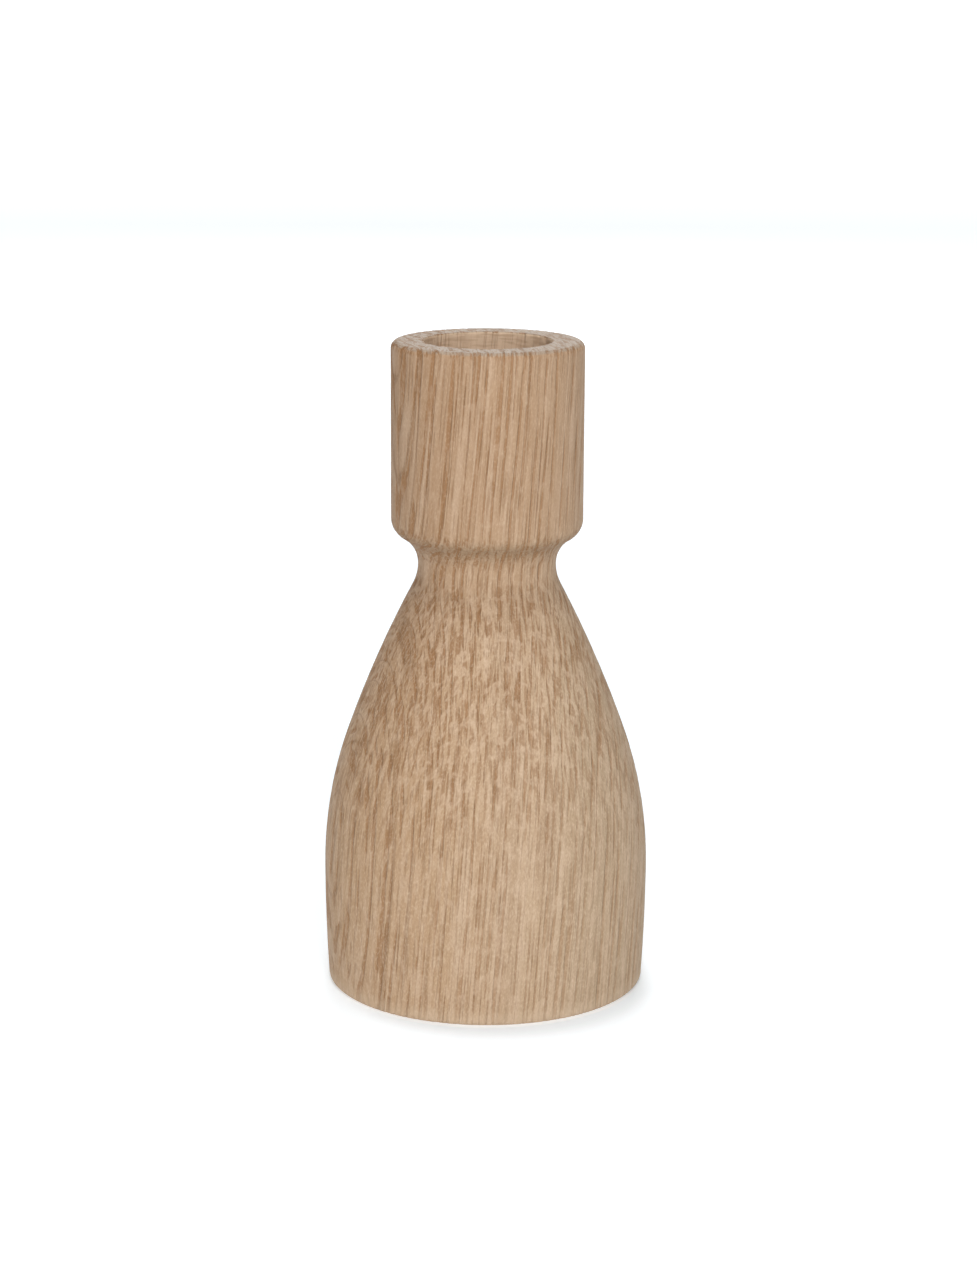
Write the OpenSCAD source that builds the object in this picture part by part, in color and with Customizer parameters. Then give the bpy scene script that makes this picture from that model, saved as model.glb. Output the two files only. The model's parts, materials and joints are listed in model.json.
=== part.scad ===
// Turned oak candlestick for one dinner candle: a bell-shaped body with a
// narrow neck and a cylindrical cup, all turned from one blank, and a round
// felt pad glued into a shallow recess under the base.
//
// Millimetres. +Z is up and is the turning axis. The origin is the centre of
// the felt pad's lower face, which is where the candlestick stands.
//
// The outside is one chain of arcs, each tangent to the next. From the foot up:
// foot rounding, wall, shoulder, flank, neck, cove, cup corner, cup wall, and
// the rounding at the rim.

/* [Overall size] */
// Height from the table to the rim
total_height = 120; // [110:1:150]
// Largest diameter, low on the bell-shaped body
belly_diameter = 60; // [59:1:70]
// Height of the largest diameter above the table
belly_height = 22; // [15:1:26]
// Outside diameter of the candle cup
cup_diameter = 35; // [32:0.5:36]
// Smallest diameter, between the body and the cup
neck_diameter = 25.2; // [24:0.2:26]

/* [Body outline] */
// Radius of the edge that the body stands on
foot_rounding = 1; // [0.5:0.1:2]
// Radius of the slightly bulging wall between foot and belly
wall_radius = 350; // [200:10:600]
// Radius of the shoulder above the belly
shoulder_radius = 77; // [70:1:80]
// Lean of the outline where the shoulder ends, in degrees from vertical
shoulder_lean = 19.5; // [18:0.5:21]
// Radius of the long flank below the neck
flank_radius = 210; // [190:5:230]

/* [Neck and cup outline] */
// Radius of the hollow between the flank and the neck
neck_radius = 8.5; // [6:0.5:10]
// Radius of the hollow between the neck and the cup
cove_radius = 5.9; // [4:0.1:7]
// Radius of the lower edge of the cup
cup_corner_radius = 3.7; // [2:0.1:5]
// Radius of the outer edge of the rim
rim_rounding = 1.4; // [0.5:0.1:2]

/* [Candle bore] */
// Diameter of the bore that holds a candle with a 22 mm foot
bore_diameter = 23; // [22.5:0.1:24]
// Depth of the bore from the rim to its flat floor
bore_depth = 25; // [18:1:30]
// Radius of the edge at the mouth of the bore
mouth_rounding = 0.5; // [0.3:0.1:1]
// Diameter of the dimple that the drill's centre spur leaves in the floor
spur_diameter = 3; // [2:0.5:5]
// Depth of that dimple
spur_depth = 1.5; // [0.5:0.5:3]

/* [Felt pad] */
// Diameter of the felt pad
felt_diameter = 50; // [40:1:54]
// Thickness of the felt
felt_thickness = 1.3; // [1:0.1:3]
// How far the felt stands proud of the wood
felt_proud = 0.2; // [0.1:0.1:0.8]
// Thickness of the adhesive film on the felt
film_thickness = 0.2; // [0.1:0.1:0.3]
// Gap between the felt's edge and the side of the recess
recess_clearance = 0.3; // [0.1:0.1:0.5]
// Diameter of the mark that the lathe's centre leaves under the base
centre_mark_diameter = 4; // [2:0.5:6]
// Depth of that mark
centre_mark_depth = 2; // [1:0.5:4]

/* [Hidden] */
$fn = 180;

// Largest gap between an arc and its chords
chord_error = 0.01;
// How far a cutting shape runs past the face that it opens
overshoot = 1;

belly_r = belly_diameter / 2;
cup_r = cup_diameter / 2;
neck_r = neck_diameter / 2;
bore_r = bore_diameter / 2;
bore_floor_z = total_height - bore_depth;
film_z = felt_thickness;
recess_top_z = film_z + film_thickness;
recess_r = felt_diameter / 2 + recess_clearance;
wood_bottom_z = felt_proud;

// A unit step at an angle from the +r axis, in the plane of the outline
function toward(angle) = [cos(angle), sin(angle)];

// Points along an arc, close enough together to keep within chord_error
function arc(centre, radius, from, to) =
    let (steps = ceil(abs(to - from) / (2 * acos(1 - chord_error / radius))))
    [for (i = [0 : steps]) centre + radius * toward(from + (to - from) * i / steps)];

// Wall and foot rounding, which touches the wall from inside
wall_centre = [belly_r - wall_radius, belly_height];
foot_centre_z = wood_bottom_z + foot_rounding;
foot_angle = -asin((belly_height - foot_centre_z) / (wall_radius - foot_rounding));
foot_centre = wall_centre + (wall_radius - foot_rounding) * toward(foot_angle);

// Shoulder and flank
shoulder_centre = [belly_r - shoulder_radius, belly_height];
flank_centre = shoulder_centre + (shoulder_radius - flank_radius) * toward(shoulder_lean);

// The flank ends at the lean at which the neck's hollow touches both it and
// the neck's smallest circle
flank_reach = flank_radius + neck_radius;
flank_lean = acos((neck_r + neck_radius - flank_centre[0]) / flank_reach);
neck_centre = flank_centre + flank_reach * toward(flank_lean);
neck_z = neck_centre[1];

// The cove ends at the lean at which the cup's corner touches both it and
// the cup's wall
cove_reach = cove_radius + cup_corner_radius;
cove_lean = acos((neck_r + cove_reach - cup_r) / cove_reach);
cove_centre = [neck_r + cove_radius, neck_z];
cup_corner_centre = cove_centre + cove_reach * toward(180 - cove_lean);

rim_centre = [cup_r - rim_rounding, total_height - rim_rounding];
mouth_centre = [bore_r + mouth_rounding, total_height - mouth_rounding];

outside_outline = concat(
    [[0, wood_bottom_z]],
    arc(foot_centre, foot_rounding, -90, foot_angle),
    arc(wall_centre, wall_radius, foot_angle, 0),
    arc(shoulder_centre, shoulder_radius, 0, shoulder_lean),
    arc(flank_centre, flank_radius, shoulder_lean, flank_lean),
    arc(neck_centre, neck_radius, 180 + flank_lean, 180),
    arc(cove_centre, cove_radius, 180, 180 - cove_lean),
    arc(cup_corner_centre, cup_corner_radius, -cove_lean, 0),
    arc(rim_centre, rim_rounding, 0, 90),
    [[0, total_height]]
);

bore_outline = concat(
    [[0, bore_floor_z - spur_depth], [spur_diameter / 2, bore_floor_z], [bore_r, bore_floor_z]],
    arc(mouth_centre, mouth_rounding, 180, 90),
    [[bore_r + mouth_rounding, total_height + overshoot], [0, total_height + overshoot]]
);

recess_outline = [
    [0, recess_top_z + centre_mark_depth],
    [centre_mark_diameter / 2, recess_top_z],
    [recess_r, recess_top_z],
    [recess_r, wood_bottom_z - overshoot],
    [0, wood_bottom_z - overshoot]
];

// Oak body with its cup, candle bore and recess
module turned_body() {
    color("burlywood")
    difference() {
        rotate_extrude() polygon(outside_outline);
        rotate_extrude() polygon(bore_outline);
        rotate_extrude() polygon(recess_outline);
    }
}

// Film of adhesive between the wood and the felt
module pad_adhesive() {
    color("ivory")
    translate([0, 0, film_z])
    cylinder(h = film_thickness, d = felt_diameter);
}

// Felt disc that the candlestick stands on
module felt_pad() {
    color("dimgray")
    cylinder(h = felt_thickness, d = felt_diameter);
}

turned_body();
pad_adhesive();
felt_pad();
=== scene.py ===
import json
import math

import bmesh
import bpy
from mathutils import Matrix, Vector


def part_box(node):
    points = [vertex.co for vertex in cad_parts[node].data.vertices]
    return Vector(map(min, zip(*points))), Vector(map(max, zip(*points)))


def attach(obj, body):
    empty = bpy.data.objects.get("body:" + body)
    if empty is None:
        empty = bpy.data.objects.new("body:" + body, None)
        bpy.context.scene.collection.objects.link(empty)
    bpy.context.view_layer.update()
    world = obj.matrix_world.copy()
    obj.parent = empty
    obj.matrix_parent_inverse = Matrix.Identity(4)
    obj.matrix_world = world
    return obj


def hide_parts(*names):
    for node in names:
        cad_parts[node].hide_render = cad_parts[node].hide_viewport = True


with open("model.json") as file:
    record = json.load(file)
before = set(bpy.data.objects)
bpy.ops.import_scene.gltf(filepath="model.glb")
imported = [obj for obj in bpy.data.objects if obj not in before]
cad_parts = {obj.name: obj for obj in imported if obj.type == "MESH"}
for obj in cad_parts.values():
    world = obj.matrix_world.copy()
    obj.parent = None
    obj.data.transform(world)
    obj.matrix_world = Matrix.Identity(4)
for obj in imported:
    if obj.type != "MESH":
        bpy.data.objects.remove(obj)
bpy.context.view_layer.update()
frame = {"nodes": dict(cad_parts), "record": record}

MM = 0.001

# How the blank lay in the tree, in millimetres. The growth rings are nearly flat sheets that face
# along X, because the heart of the tree is far to the left. The grain leans a little to the right, and
# sways and ripples by about this much.
HEART_X = -110.0
HEART_Y = -36.0
GRAIN_LEAN = 0.075
SWAY = 1.5
RIPPLE = 0.35

# Waves in which the lines lie closer together: radians for each millimetre across the growth rings,
# and the radians by which the waves wander
WAVE_RATE = 3.4
WAVE_WANDER = 14.0

# The rows of dashes draw together up the cone: they have their true spacing at the first height, and
# half of it after the rise, in millimetres
FLARE_HEIGHT = 35.0
FLARE_RISE = 80.0

# Sizes of the grain's features in millimetres: across the growth rings, along them and up the trunk
SWAY_SIZE = (30.0, 30.0, 90.0)
RIPPLE_SIZE = (7.0, 7.0, 22.0)
BAND_SIZE = (1.4, 9.0, 60.0)
PIN_SIZE = (0.6, 4.0, 45.0)
RING_SIZE = (2.4, 40.0, 200.0)
WAVE_SIZE = (6.0, 30.0, 90.0)
LINE_SIZE = (0.52, 3.5, 34.0)
DASH_SIZE = (0.68, 2.8, 10.0)
HAIR_SIZE = (0.32, 0.9, 9.0)
RAY_SIZE = (1.6, 0.9, 3.5)
FIBRE_SIZE = (0.28, 0.28, 0.6)
TINT_SIZE = (9.0, 9.0, 60.0)

# Sizes in millimetres along X, Y and Z of the drill's marks, the felt's tufts, fibres and clouds, and
# the smears of the glue
TOOL_MARK_SIZE = (3.0, 3.0, 0.45)
TUFT_SIZE = (0.7, 0.7, 0.7)
WANDER_SIZE = (1.5, 1.5, 1.0)
WANDER = 5.4
FIBRE_ALONG_X = (0.9, 0.12, 1.0)
FIBRE_ALONG_Y = (0.12, 0.9, 1.0)
CLOUD_SIZE = (4.0, 4.0, 1.0)
SMEAR_SIZE = (2.5, 5.0, 1.0)

# Colours of the wood at the left and at the right, the right paler partly as painted light, and of each
# feature that is laid over it, some of which are painted shade and light
OAK = {
    "left": (0.43, 0.274, 0.156, 1),
    "right": (0.475, 0.335, 0.216, 1),
    "tint": (0.54, 0.38, 0.265, 1),
    "zone": (0.33, 0.195, 0.105, 1),
    "dull": (0.38, 0.272, 0.172, 1),
    "streak": (0.36, 0.235, 0.14, 1),
    "top": (0.37, 0.23, 0.135, 1),
    "band": (0.40, 0.24, 0.13, 1),
    "pin": (0.61, 0.45, 0.325, 1),
    "ray": (0.57, 0.41, 0.285, 1),
    "under": (0.27, 0.18, 0.105, 1),
    "end_grain": (0.42, 0.378, 0.33, 1),
    "edge": (0.32, 0.22, 0.14, 1),
    "line": (0.265, 0.125, 0.047, 1),
    "ring": (0.20, 0.10, 0.04, 1),
    "dash": (0.27, 0.14, 0.063, 1),
    "hair": (0.22, 0.115, 0.05, 1),
    "pale_fibre": (0.70, 0.54, 0.39, 1),
    "dark_fibre": (0.25, 0.15, 0.085, 1),
    "foot": (0.64, 0.48, 0.34, 1),
    "bore": (0.78, 0.61, 0.45, 1),
    "tool_mark": (0.33, 0.20, 0.12, 1),
}

# Colours of the felt and of the glue
FELT_DARK = (0.020, 0.020, 0.022, 1)
FELT_PALE = (0.085, 0.083, 0.080, 1)
FELT_CLOUD = (0.055, 0.054, 0.052, 1)
GLUE_DARK = (0.62, 0.50, 0.34, 1)
GLUE_PALE = (0.80, 0.74, 0.62, 1)

# The bore's paler wood, partly fresh drilled wood and partly painted light, in millimetres from the
# axis: all of it inside the first radius, and none beyond the second, in the rounded mouth
SOCKET = next(mount for mount in frame["record"]["mounts"] if mount["name"] == "candle_socket")
BORE_WALL = SOCKET["dims"]["r_mm"] + 0.06
BORE_MOUTH = SOCKET["dims"]["r_mm"] + 0.2

# Meshes. A ring smaller than ON_AXIS is a point on the axis, and a face whose normal has less than
# UPRIGHT along the radius counts as level.
LATHE_COLUMNS = 720
RING_GAP = 1.0 * MM
SMALLEST_RING_GAP = 0.02 * MM
FELT_COLUMNS = 240
FELT_RING_GAP = 0.5 * MM
FELT_EDGE = 0.35 * MM
ARC_STEPS = 4
ON_AXIS = 0.001 * MM
UPRIGHT = 0.01
MICROMETRE_DIGITS = 6

# Depths of the relief in the meshes, and of the bumps in the materials
OAK_RELIEF = 0.05 * MM
OAK_BUMP = 0.10 * MM
FELT_RELIEF = 0.08 * MM
FELT_BUMP = 0.15 * MM
GLUE_BUMP = 0.10 * MM

# Camera, which looks at AIM. Angles are in degrees, and the lens and the sensor in millimetres.
AIM = Vector((0.35, 0.0, 64.55)) * MM
CAMERA_DISTANCE = 550.5 * MM
CAMERA_ELEVATION = 13.52
CAMERA_ROLL = 0.27
CAMERA_LENS = 84.15
CAMERA_SENSOR = 36.0

# Lamps, which shine at AIM: name, azimuth and elevation in degrees, distance and size in metres, and
# power in watts. Azimuth 0 is the camera's side.
LAMPS = [
    ("key", 3, 30, 1.2, 0.6, 9.3),
    ("overhead", 0, 88, 0.9, 0.6, 3.8),
    ("back", 180, 30, 1.2, 0.5, 4.8),
]
WORLD_STRENGTH = 0.12

# Sweep, the floor that curves up far away: (radius, height) points of its outline, in metres
SWEEP_OUTLINE = [(4.0, 0.5), (4.0, 0.34), (3.96, 0.2), (3.88, 0.1), (3.75, 0.03), (3.6, 0.0), (0.0, 0.0)]
SWEEP_COLUMNS = 96
SWEEP_COLOUR = (0.76, 0.8, 0.83, 1)
GLOW_COLOUR = (0.97, 1, 1.02, 1)

# How strongly the sweep glows in general and in the painted shadow round the foot, and how much is
# added as painted light under the front of the foot, and far away
GLOW = 0.35
PAINTED_SHADOW_GLOW = 0.18
PAINTED_FRONT_GLOW = 0.37
FAR_GLOW = 0.6

# Where the glow changes, in millimetres: the middle of the painted shadow, its edge, the edge of the
# foot, the stretch in which the painted light under the front of the foot ends, and the one in which
# the far light starts
SHADE_MIDDLE = (2.8, -6.0)
SHADE_EDGE = (24.5, 31.8)
FOOT_EDGE = (28.0, 29.8)
FRONT_END = (-20.0, 0.0)
FAR_START = (200.0, 2000.0)


# ---------------------------------------------------------------- node fields
class Field:
    """A socket in a node tree, with arithmetic that adds Math nodes."""

    def __init__(self, net, socket):
        self.net = net
        self.socket = socket

    def __add__(self, other):
        return self.net.math("ADD", self, other)

    def __sub__(self, other):
        return self.net.math("SUBTRACT", self, other)

    def __rsub__(self, other):
        return self.net.math("SUBTRACT", other, self)

    def __mul__(self, other):
        return self.net.math("MULTIPLY", self, other)

    def __truediv__(self, other):
        return self.net.math("DIVIDE", self, other)

    __radd__ = __add__


class Net:
    """Adds nodes to a shader tree or a geometry tree, which share these node types."""

    def __init__(self, tree):
        self.tree = tree

    def node(self, kind, *values, **settings):
        """Adds a node with these settings, and feeds the values to its first inputs."""
        made = self.tree.nodes.new(kind)
        for name, value in settings.items():
            setattr(made, name, value)
        for socket, value in zip(made.inputs, values):
            self.feed(socket, value)
        return made

    def feed(self, socket, value):
        if isinstance(value, Field):
            self.tree.links.new(value.socket, socket)
        else:
            socket.default_value = value

    def read(self, kind, output):
        """One output of a new node that has no inputs."""
        return Field(self, self.node(kind).outputs[output])

    def math(self, operation, *values):
        return Field(self, self.node("ShaderNodeMath", *values, operation=operation).outputs[0])

    def vector_math(self, operation, *values):
        return Field(self, self.node("ShaderNodeVectorMath", *values, operation=operation).outputs[0])

    def scale(self, vector, factor):
        made = self.node("ShaderNodeVectorMath", vector, operation="SCALE")
        self.feed(made.inputs["Scale"], factor)
        return Field(self, made.outputs[0])

    def split(self, vector):
        return [Field(self, out) for out in self.node("ShaderNodeSeparateXYZ", vector).outputs]

    def join(self, x, y, z):
        return Field(self, self.node("ShaderNodeCombineXYZ", x, y, z).outputs[0])

    def distance(self, across, along):
        return self.math("SQRT", across * across + along * along)

    def noise(self, point, size, shift=None, detail=0.0):
        """Smooth noise around 0.5 at a point, with bumps of this size along each axis. A shift, in
        bumps, takes the pattern from elsewhere, so that two features don't lie on each other."""
        place = self.vector_math("DIVIDE", self.join(*point), size)
        if shift:
            place = self.vector_math("ADD", place, shift)
        made = self.node("ShaderNodeTexNoise")
        self.feed(made.inputs["Vector"], place)
        made.inputs["Scale"].default_value = 1.0
        made.inputs["Detail"].default_value = detail
        return Field(self, made.outputs[0])

    def ramp(self, value, start, end, low=0.0, high=1.0):
        """low up to start, high from end, and a smooth step between them."""
        made = self.node("ShaderNodeMapRange", interpolation_type="SMOOTHSTEP")
        self.feed(made.inputs["Value"], value)
        for name, number in (("From Min", start), ("From Max", end), ("To Min", low), ("To Max", high)):
            self.feed(made.inputs[name], number)
        return Field(self, made.outputs["Result"])

    def fall(self, value, start, end):
        """1 up to start, 0 from end, and a smooth step between them."""
        return self.ramp(value, start, end, 1.0, 0.0)

    def mix(self, share, first, second):
        """The first colour where the share is 0, and the second where it is 1."""
        made = self.node("ShaderNodeMix", data_type="RGBA", clamp_factor=True)
        colours = [socket for socket in made.inputs if socket.type == "RGBA"]
        self.feed(made.inputs[0], share)
        self.feed(colours[0], first)
        self.feed(colours[1], second)
        return Field(self, [socket for socket in made.outputs if socket.type == "RGBA"][0])


# ---------------------------------------------------------------- materials in general
def new_material(name):
    material = bpy.data.materials.new(name)
    material.use_nodes = True
    tree = material.node_tree
    tree.nodes.clear()
    net = Net(tree)
    output = net.node("ShaderNodeOutputMaterial")
    shader = net.node("ShaderNodeBsdfPrincipled")
    tree.links.new(shader.outputs[0], output.inputs[0])
    return material, net, shader


def place_in_mm(net):
    """A place on an object in millimetres, as x, y and z."""
    return net.split(net.scale(net.read("ShaderNodeTexCoord", "Object"), 1.0 / MM))


def add_bump(net, shader, height, distance):
    bump = net.node("ShaderNodeBump")
    bump.inputs["Strength"].default_value = 1.0
    bump.inputs["Distance"].default_value = distance
    net.feed(bump.inputs["Height"], height)
    net.tree.links.new(bump.outputs[0], shader.inputs["Normal"])


# ---------------------------------------------------------------- oak
def grain_fields(net, side, y, z):
    """The features of oak's grain at a place in millimetres, each from 0 to 1: dark rows of pores, which
    are lines on an upright surface and dashes on an oblique one, fine hairs, pale flecks of rays, bands
    and thin pins along the growth rings, dark ends of rings, fibres and patches of tint."""
    sway = net.noise((side, y, z), SWAY_SIZE) - 0.5
    ripple = net.noise((side, y, z), RIPPLE_SIZE) - 0.5
    x = side - z * GRAIN_LEAN + sway * SWAY + ripple * RIPPLE
    from_heart = x - HEART_X
    across = y - HEART_Y
    radius = net.distance(from_heart, across)
    around = across / from_heart * -HEART_X
    trunk = (radius, around, z)
    flared = (radius + side * (z - FLARE_HEIGHT) / FLARE_RISE, around, z)

    band = net.noise(trunk, BAND_SIZE, detail=1.0)
    ring_noise = net.noise(trunk, RING_SIZE)
    wave = net.math("SINE", radius * WAVE_RATE + net.noise(trunk, WAVE_SIZE) * WAVE_WANDER)
    line_noise = net.noise(trunk, LINE_SIZE) + (band - 0.5) * 0.06 + wave * 0.10
    line = net.ramp(line_noise, 0.58, 0.675)
    dash_noise = net.noise(flared, DASH_SIZE, shift=(20, 0, 0)) + (band - 0.5) * 0.12
    dash = net.ramp(dash_noise, 0.53, 0.60)
    ray = net.ramp(net.noise(trunk, RAY_SIZE, detail=1.0), 0.50, 0.62)
    return {
        "line": line * (1.0 - ray * 0.5),
        "dash": dash * (1.0 - ray * 0.8),
        "hair": net.ramp(net.noise(trunk, HAIR_SIZE, shift=(0, 40, 0)), 0.56, 0.75),
        "ray": ray,
        "band": band,
        "pin": net.noise(trunk, PIN_SIZE, shift=(70, 0, 0)),
        "ring": net.fall(net.math("ABSOLUTE", ring_noise - 0.5), 0.004, 0.022),
        "fibre": net.noise((x, y, z), FIBRE_SIZE, detail=1.0),
        "tint": net.noise((x, y, z), TINT_SIZE),
    }


def shade_fields(net, side, z):
    """Where the wood is darker or paler as a whole, by the place across it and its height in
    millimetres, each from 0 to 1. Among them, the darker left and right edges, the paler right side in
    part and the paler lowest millimetres are painted shade and light."""
    off_streak = net.math("ABSOLUTE", side - 4.0)
    return {
        # The right side, paler partly as painted light, and the left edge, darkened as painted shade more
        # and more towards the top
        "right": net.ramp(side, -18.0, 14.0),
        "zone": net.fall(side, -12.0, -4.0) * net.ramp(z, 20.0, 100.0),
        # The cup with the neck, and all that is above the belly
        "top": net.ramp(z, 58.0, 95.0),
        "high": net.ramp(z, 35.0, 75.0),
        # Below the cup: the right edge, darkened as painted shade, and a streak right of the middle
        "dull": net.ramp(side, 10.0, 18.0) * net.fall(z, 60.0, 85.0),
        "streak": net.fall(off_streak, 1.0, 3.5) * net.fall(z, 78.0, 86.0),
        # The lowest few millimetres, made paler as painted light
        "foot": net.fall(z, 0.8, 4.0),
    }


def surface_fields(net, x, y, z):
    """What the lathe and the drill left, and where shade and light are painted, each from 0 to 1: the
    surface's slope, where it is oblique to the pores, the end grain and the rounded edges of the rim, the
    underside of the cup, darker partly as painted shade, the bore's paler wood, partly painted light,
    and the marks of the drill."""
    upward = net.split(net.read("ShaderNodeTexCoord", "Normal"))[2]
    slope = net.math("ABSOLUTE", upward)
    near_axis = net.fall(x * x + y * y, BORE_WALL ** 2, BORE_MOUTH ** 2)
    return {
        "slope": slope,
        "oblique": net.ramp(slope, 0.03, 0.33),
        "end_grain": net.ramp(upward, 0.5, 0.78),
        "edge": net.ramp(upward, 0.5, 0.7) * net.fall(upward, 0.9, 0.99),
        # The height leaves out the underside of the foot here, and its recess in the next line
        "under": net.fall(upward, -0.8, -0.15) * net.ramp(z, 20.0, 60.0),
        "bore": near_axis * net.ramp(z, 85.0, 90.0),
        "tool_mark": net.ramp(net.noise((x, y, z), TOOL_MARK_SIZE, detail=1.0), 0.42, 0.66),
    }


def oak_material():
    material, net, shader = new_material("pale_oak")
    x, y, z = place_in_mm(net)
    f = grain_fields(net, x, y, z) | shade_fields(net, x, z) | surface_fields(net, x, y, z)
    # The pores are darkest at the left, high up, on slopes and along the rim's edges
    strength = 0.56 - f["right"] * 0.2 + f["slope"] * 0.15 + f["high"] * 0.14
    strength = strength - f["end_grain"] * 0.3 + f["edge"] * 0.25
    speckle = 0.3 - f["top"] * 0.12
    layers = [
        ("tint", net.ramp(f["tint"], 0.3, 0.7) * 0.15),
        # Painted shade on the left edge, more and more towards the top
        ("zone", f["zone"] * 0.8),
        # Painted shade on the right edge below the cup
        ("dull", f["dull"] * 0.65),
        ("streak", f["streak"] * 0.4),
        ("top", f["top"] * 0.8),
        ("band", net.ramp(f["band"], 0.42, 0.66) * 0.16),
        ("pin", net.ramp(f["pin"], 0.45, 0.7) * 0.25),
        ("ray", f["ray"] * (0.32 - f["top"] * 0.2)),
        # Faces that look down, under the cup, are darker: partly end grain, partly painted shade
        ("under", f["under"] * 0.6),
        ("end_grain", f["end_grain"] * 0.65),
        ("edge", f["edge"] * 0.45),
        ("line", f["line"] * strength),
        ("ring", f["ring"] * strength * 0.6),
        ("dash", f["dash"] * f["oblique"] * strength),
        ("hair", f["hair"] * strength * 0.6),
        ("pale_fibre", net.ramp(f["fibre"], 0.45, 0.8) * speckle),
        ("dark_fibre", net.fall(f["fibre"], 0.2, 0.45) * speckle),
        # Painted light: the lowest few millimetres are paler
        ("foot", f["foot"] * 0.4),
        # The bore's paler wood is partly painted light
        ("bore", f["bore"] * 0.55),
        ("tool_mark", f["bore"] * f["tool_mark"] * 0.36),
    ]
    # The right side is paler and greyer, partly in the wood's own tone and partly as painted light
    tone = net.mix(f["right"], OAK["left"], OAK["right"])
    for name, share in layers:
        tone = net.mix(share, tone, OAK[name])
    net.feed(shader.inputs["Base Color"], tone)
    net.feed(shader.inputs["Roughness"], 0.68 + f["line"] * 0.15)
    shader.inputs["Specular IOR Level"].default_value = 0.2
    add_bump(net, shader, f["fibre"] * 0.25 - f["line"] * 0.8 - f["hair"] * 0.5, OAK_BUMP)
    return material


def oak_relief(net, x, y, z):
    f = grain_fields(net, x, y, z)
    return (f["line"] + f["hair"] * 0.4) * OAK_RELIEF


# ---------------------------------------------------------------- shapes in general
def add_object(name, data):
    made = bpy.data.objects.new(name, data)
    bpy.context.scene.collection.objects.link(made)
    return made


def thinned(points, gap):
    """The points without those that lie closer than gap to the one before."""
    kept = [points[0]]
    for point in points[1:]:
        if math.dist(point, kept[-1]) > gap:
            kept.append(point)
    return kept


def subdivided(points, gap):
    """The points with more between them, so that no two neighbours are further apart than gap."""
    result = [points[0]]
    for start, end in zip(points, points[1:]):
        steps = max(1, math.ceil(math.dist(start, end) / gap))
        for step in range(1, steps + 1):
            share = step / steps
            result.append(tuple(a + (b - a) * share for a, b in zip(start, end)))
    return result


def lathe(name, section, columns):
    """Revolves an outline of (radius, height) points, and closes it where it meets the axis."""
    mesh = bmesh.new()
    angles = [2 * math.pi * column / columns for column in range(columns)]
    rings = []
    for radius, height in section:
        turns = [0.0] if radius < ON_AXIS else angles
        rings.append([mesh.verts.new((radius * math.cos(a), radius * math.sin(a), height)) for a in turns])
    for lower, upper in zip(rings, rings[1:]):
        for column in range(columns):
            after = (column + 1) % columns
            corners = [(lower, column), (lower, after), (upper, after), (upper, column)]
            # A ring on the axis is a single point, so its two corners are one and the face a triangle
            mesh.faces.new(dict.fromkeys(ring[place % len(ring)] for ring, place in corners))
    data = bpy.data.meshes.new(name)
    mesh.to_mesh(data)
    mesh.free()
    data.shade_smooth()
    return add_object(name, data)


def sink(piece, relief):
    """Moves a mesh's surface inward by a depth in metres, which relief() works out with nodes from the
    place in millimetres, and applies it."""
    tree = bpy.data.node_groups.new(piece.name + "_relief", "GeometryNodeTree")
    for direction in ("INPUT", "OUTPUT"):
        tree.interface.new_socket("Geometry", in_out=direction, socket_type="NodeSocketGeometry")
    net = Net(tree)
    source = net.node("NodeGroupInput")
    shift = net.node("GeometryNodeSetPosition")
    result = net.node("NodeGroupOutput")
    tree.links.new(source.outputs[0], shift.inputs["Geometry"])
    tree.links.new(shift.outputs[0], result.inputs[0])
    place = net.scale(net.read("GeometryNodeInputPosition", "Position"), 1.0 / MM)
    normal = net.read("GeometryNodeInputNormal", "Normal")
    depth = relief(net, *net.split(place))
    net.feed(shift.inputs["Offset"], net.scale(normal, depth * -1.0))
    piece.modifiers.new("relief", "NODES").node_group = tree
    bpy.context.view_layer.update()
    evaluated = piece.evaluated_get(bpy.context.evaluated_depsgraph_get())
    data = bpy.data.meshes.new_from_object(evaluated)
    piece.modifiers.clear()
    piece.data = data


# ---------------------------------------------------------------- oak body
def rings_of(node, wanted):
    """The distinct (radius, height) pairs at the corners of a CAD node's faces that wanted() takes, by
    how far the face looks outward and by its height."""
    mesh = frame["nodes"][node].data
    found = set()
    for face in mesh.polygons:
        away = Vector((face.center.x, face.center.y, 0.0)).normalized()
        if wanted(face.normal.dot(away), face.center.z):
            for index in face.vertices:
                point = mesh.vertices[index].co
                ring = (math.hypot(point.x, point.y), point.z)
                found.add(tuple(round(length, MICROMETRE_DIGITS) for length in ring))
    return found


def turned_section():
    """The body's outline on one side of the axis, from the middle of the recess, up the outside
    and down the bore to its floor."""
    low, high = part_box("turned_body")
    middle = (low.z + high.z) / 2
    recess = rings_of("turned_body", lambda outward, z: outward < -UPRIGHT and z < middle)
    outside = rings_of("turned_body", lambda outward, z: outward > UPRIGHT)
    bore = rings_of("turned_body", lambda outward, z: outward < -UPRIGHT and z > middle)
    section = sorted(recess, key=lambda ring: (-ring[1], ring[0]))
    section += sorted(outside, key=lambda ring: ring[1])
    section += sorted(bore, key=lambda ring: (-ring[1], -ring[0]))
    return section


def add_body():
    section = subdivided(thinned(turned_section(), SMALLEST_RING_GAP), RING_GAP)
    body = lathe("oak_body", section, LATHE_COLUMNS)
    sink(body, oak_relief)
    body.data.materials.append(oak_material())
    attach(body, "root")
    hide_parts("turned_body")


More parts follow.
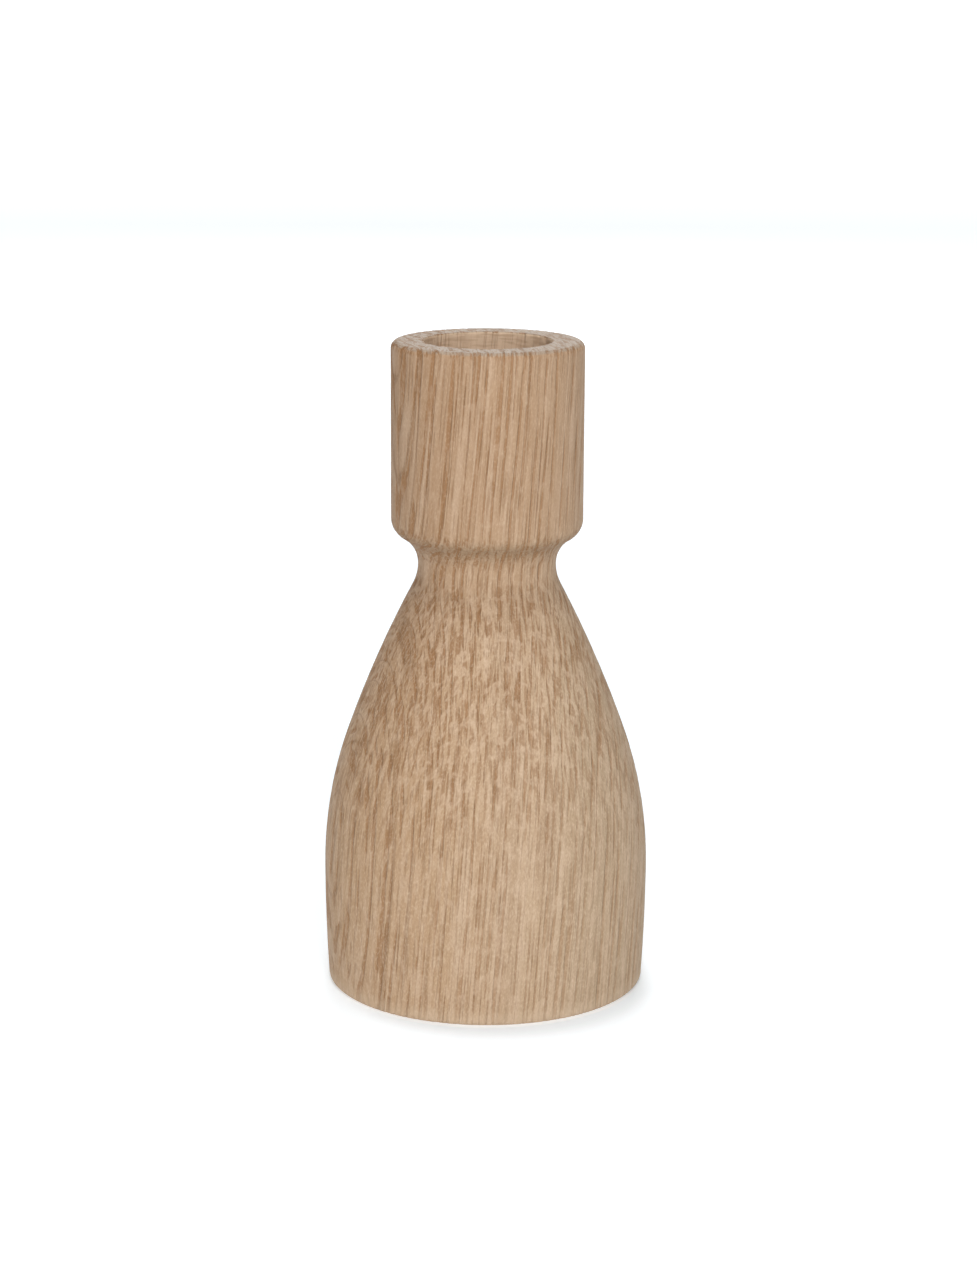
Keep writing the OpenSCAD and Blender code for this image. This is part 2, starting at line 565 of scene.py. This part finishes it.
# ---------------------------------------------------------------- felt pad and its glue
def rounded_disc(low, high, edge):
    """The outline of a flat round pad between two corners of its box, with its rims rounded."""
    section = [(0.0, low.z)]
    for height, first in ((low.z + edge, -90), (high.z - edge, 0)):
        for step in range(ARC_STEPS + 1):
            angle = math.radians(first + 90 * step / ARC_STEPS)
            section.append((high.x - edge + edge * math.cos(angle), height + edge * math.sin(angle)))
    section.append((0.0, high.z))
    return section


def felt_relief(net, x, y, z):
    return net.noise((x, y, z), TUFT_SIZE, detail=2.0) * FELT_RELIEF


def felt_material():
    """Pale fibres that lie along X or along Y and wander, and faint clouds over them."""
    material, net, shader = new_material("grey_felt")
    x, y, z = place_in_mm(net)
    wander = net.noise((x, y, z), WANDER_SIZE) * WANDER
    along_x = net.noise((x + wander, y, z), FIBRE_ALONG_X, detail=2.0)
    along_y = net.noise((x, y + wander, z), FIBRE_ALONG_Y, shift=(0, 0, 5), detail=2.0)
    fibre = net.math("MAXIMUM", along_x, along_y)
    cloud = net.noise((x, y, z), CLOUD_SIZE)
    tone = net.mix(net.ramp(fibre, 0.45, 0.75), FELT_DARK, FELT_PALE)
    tone = net.mix(net.ramp(cloud, 0.4, 0.7) * 0.4, tone, FELT_CLOUD)
    net.feed(shader.inputs["Base Color"], tone)
    shader.inputs["Roughness"].default_value = 0.95
    shader.inputs["Sheen Weight"].default_value = 0.5
    shader.inputs["Sheen Roughness"].default_value = 0.6
    add_bump(net, shader, fibre, FELT_BUMP)
    return material


def add_felt_pad():
    low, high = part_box("felt_pad")
    section = subdivided(rounded_disc(low, high, FELT_EDGE), FELT_RING_GAP)
    felt = lathe("soft_felt_pad", section, FELT_COLUMNS)
    sink(felt, felt_relief)
    felt.data.materials.append(felt_material())
    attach(felt, "root")
    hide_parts("felt_pad")


def glue_material():
    material, net, shader = new_material("dried_glue")
    smear = net.noise(place_in_mm(net), SMEAR_SIZE, detail=3.0)
    net.feed(shader.inputs["Base Color"], net.mix(smear, GLUE_DARK, GLUE_PALE))
    net.feed(shader.inputs["Roughness"], net.ramp(smear, 0.3, 0.7, 0.25, 0.5))
    add_bump(net, shader, smear, GLUE_BUMP)
    return material


# ---------------------------------------------------------------- stage
def towards(azimuth, elevation):
    """The direction from AIM at these angles in degrees, where azimuth 0 is the camera's side."""
    a, e = math.radians(azimuth), math.radians(elevation)
    return Vector((math.sin(a) * math.cos(e), -math.cos(a) * math.cos(e), math.sin(e)))


def facing_aim(direction, distance):
    """The place of a camera or a lamp in this direction from AIM, turned to face it."""
    turn = direction.to_track_quat("Z", "Y").to_matrix().to_4x4()
    return Matrix.Translation(AIM + direction * distance) @ turn


def add_camera():
    data = bpy.data.cameras.new("camera")
    data.lens = CAMERA_LENS
    data.sensor_width = CAMERA_SENSOR
    camera = add_object("camera", data)
    roll = Matrix.Rotation(math.radians(CAMERA_ROLL), 4, "Z")
    camera.matrix_world = facing_aim(towards(0, CAMERA_ELEVATION), CAMERA_DISTANCE) @ roll
    bpy.context.scene.camera = camera


def add_world():
    world = bpy.data.worlds.new("studio")
    world.use_nodes = True
    background = world.node_tree.nodes["Background"]
    background.inputs["Color"].default_value = (1, 1, 1, 1)
    background.inputs["Strength"].default_value = WORLD_STRENGTH
    bpy.context.scene.world = world
    bpy.context.scene.view_settings.view_transform = "Standard"


def sweep_material():
    material, net, shader = new_material("light_table")
    across, along, _ = place_in_mm(net)
    shade_across, shade_along = SHADE_MIDDLE
    from_axis = net.distance(across, along)
    from_shade = net.distance(across - shade_across, along - shade_along)
    # The glow is dimmed round the foot as a painted shadow, and raised under the front of the foot as
    # painted light
    painted_front_light = net.ramp(from_axis, *FOOT_EDGE, PAINTED_FRONT_GLOW, 0.0) * net.fall(along, *FRONT_END)
    painted_shadow = net.ramp(from_shade, *SHADE_EDGE, PAINTED_SHADOW_GLOW, GLOW)
    far = net.ramp(from_axis, *FAR_START, 0.0, FAR_GLOW)
    shader.inputs["Base Color"].default_value = SWEEP_COLOUR
    shader.inputs["Roughness"].default_value = 1.0
    shader.inputs["Specular IOR Level"].default_value = 0.0
    shader.inputs["Emission Color"].default_value = GLOW_COLOUR
    net.feed(shader.inputs["Emission Strength"], painted_front_light + painted_shadow + far)
    return material


def add_sweep():
    sweep = lathe("sweep", SWEEP_OUTLINE, SWEEP_COLUMNS)
    sweep.data.materials.append(sweep_material())


def add_lamp(name, azimuth, elevation, distance, size, watts):
    data = bpy.data.lights.new(name, "AREA")
    data.shape = "DISK"
    data.size = size
    data.energy = watts
    add_object(name, data).matrix_world = facing_aim(towards(azimuth, elevation), distance)


add_body()
add_felt_pad()
frame["nodes"]["pad_adhesive"].material_slots[0].material = glue_material()
add_camera()
add_world()
add_sweep()
for lamp in LAMPS:
    add_lamp(*lamp)
